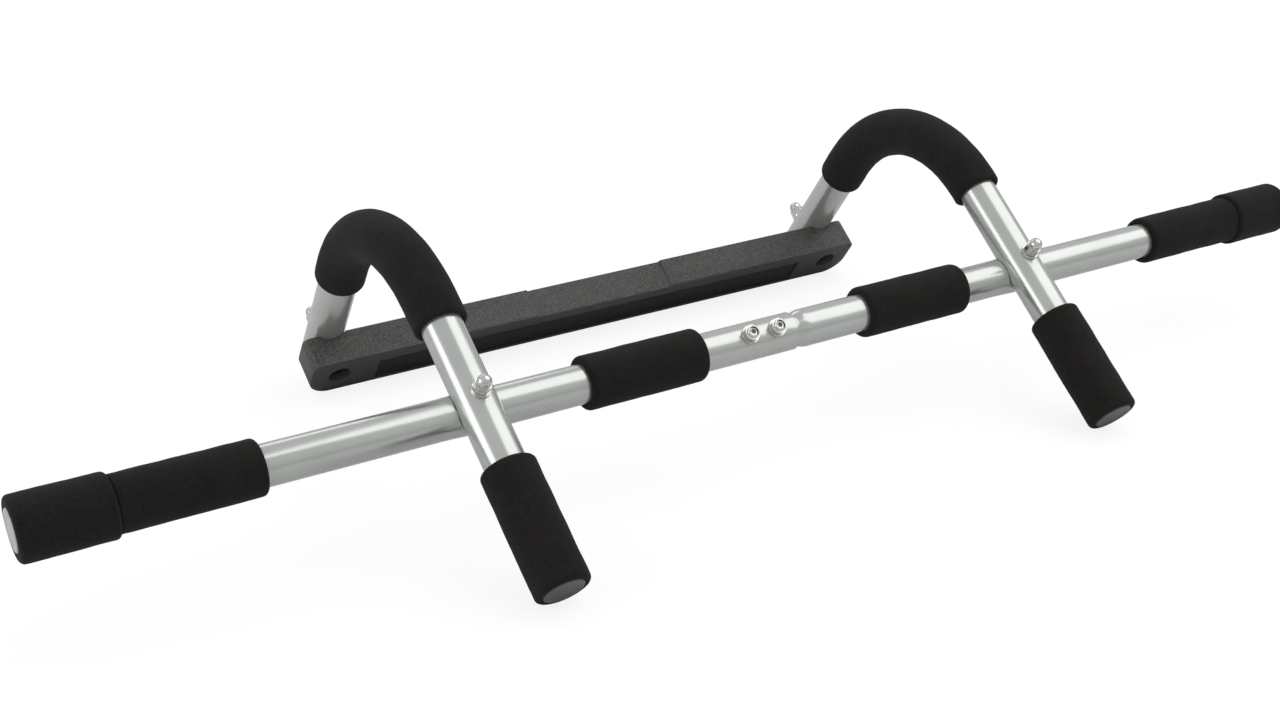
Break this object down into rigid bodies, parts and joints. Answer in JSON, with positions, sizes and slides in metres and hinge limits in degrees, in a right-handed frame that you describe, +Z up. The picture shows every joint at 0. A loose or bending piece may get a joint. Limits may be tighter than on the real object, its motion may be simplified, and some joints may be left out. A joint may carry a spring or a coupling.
{
  "type": "pull up bar",
  "caption": "Doorway pull-up bar: a two-part foam-gripped cross bar with bent arms that hook over a door head, joined behind by a padded brace.",
  "frame": {"origin": "middle of the footprint, on the floor that the handles and the brace stand on", "axes": "+X along the cross bar, towards its swaged half; +Y from the handles towards the brace; +Z up"},
  "size_m": [0.95, 0.3888, 0.166],
  "materials": {
    "silver_paint": "satin",
    "black_foam": "matte",
    "grey_plastic": "matte",
    "black_rubber": "matte",
    "bright_zinc": "gloss",
    "grey_plug": "satin"
  },
  "bodies": {
    "root": {"arm_bolt_left": "bright_zinc", "arm_bolt_right": "bright_zinc", "arm_head_washer_left": "bright_zinc", "arm_head_washer_right": "bright_zinc", "arm_nut_left": "bright_zinc", "arm_nut_right": "bright_zinc", "arm_tube_left": "silver_paint", "arm_tube_right": "silver_paint", "arm_washer_left": "bright_zinc", "arm_washer_right": "bright_zinc", "bar_plug_left": "grey_plug", "bar_plug_right": "grey_plug", "bar_tube_left": "silver_paint", "bar_tube_right": "silver_paint", "bend_foam_left": "black_foam", "bend_foam_right": "black_foam", "brace_back_washer_left": "bright_zinc", "brace_back_washer_right": "bright_zinc", "brace_body": "grey_plastic", "brace_bolt_left": "bright_zinc", "brace_bolt_right": "bright_zinc", "brace_nut_left": "bright_zinc", "brace_nut_right": "bright_zinc", "brace_pad": "black_rubber", "brace_washer_left": "bright_zinc", "brace_washer_right": "bright_zinc", "end_foam_left": "black_foam", "end_foam_right": "black_foam", "handle_grip_left": "black_foam", "handle_grip_right": "black_foam", "handle_plug_left": "grey_plug", "handle_plug_right": "grey_plug", "inner_grip_left": "black_foam", "inner_grip_right": "black_foam", "joint_bolt_1": "bright_zinc", "joint_bolt_2": "bright_zinc", "joint_head_washer_1": "bright_zinc", "joint_head_washer_2": "bright_zinc", "joint_nut_1": "bright_zinc", "joint_nut_2": "bright_zinc", "joint_washer_1": "bright_zinc", "joint_washer_2": "bright_zinc", "leg_plug_left": "grey_plug", "leg_plug_right": "grey_plug", "outer_grip_left": "black_foam", "outer_grip_right": "black_foam"}
  },
  "joints": []
}
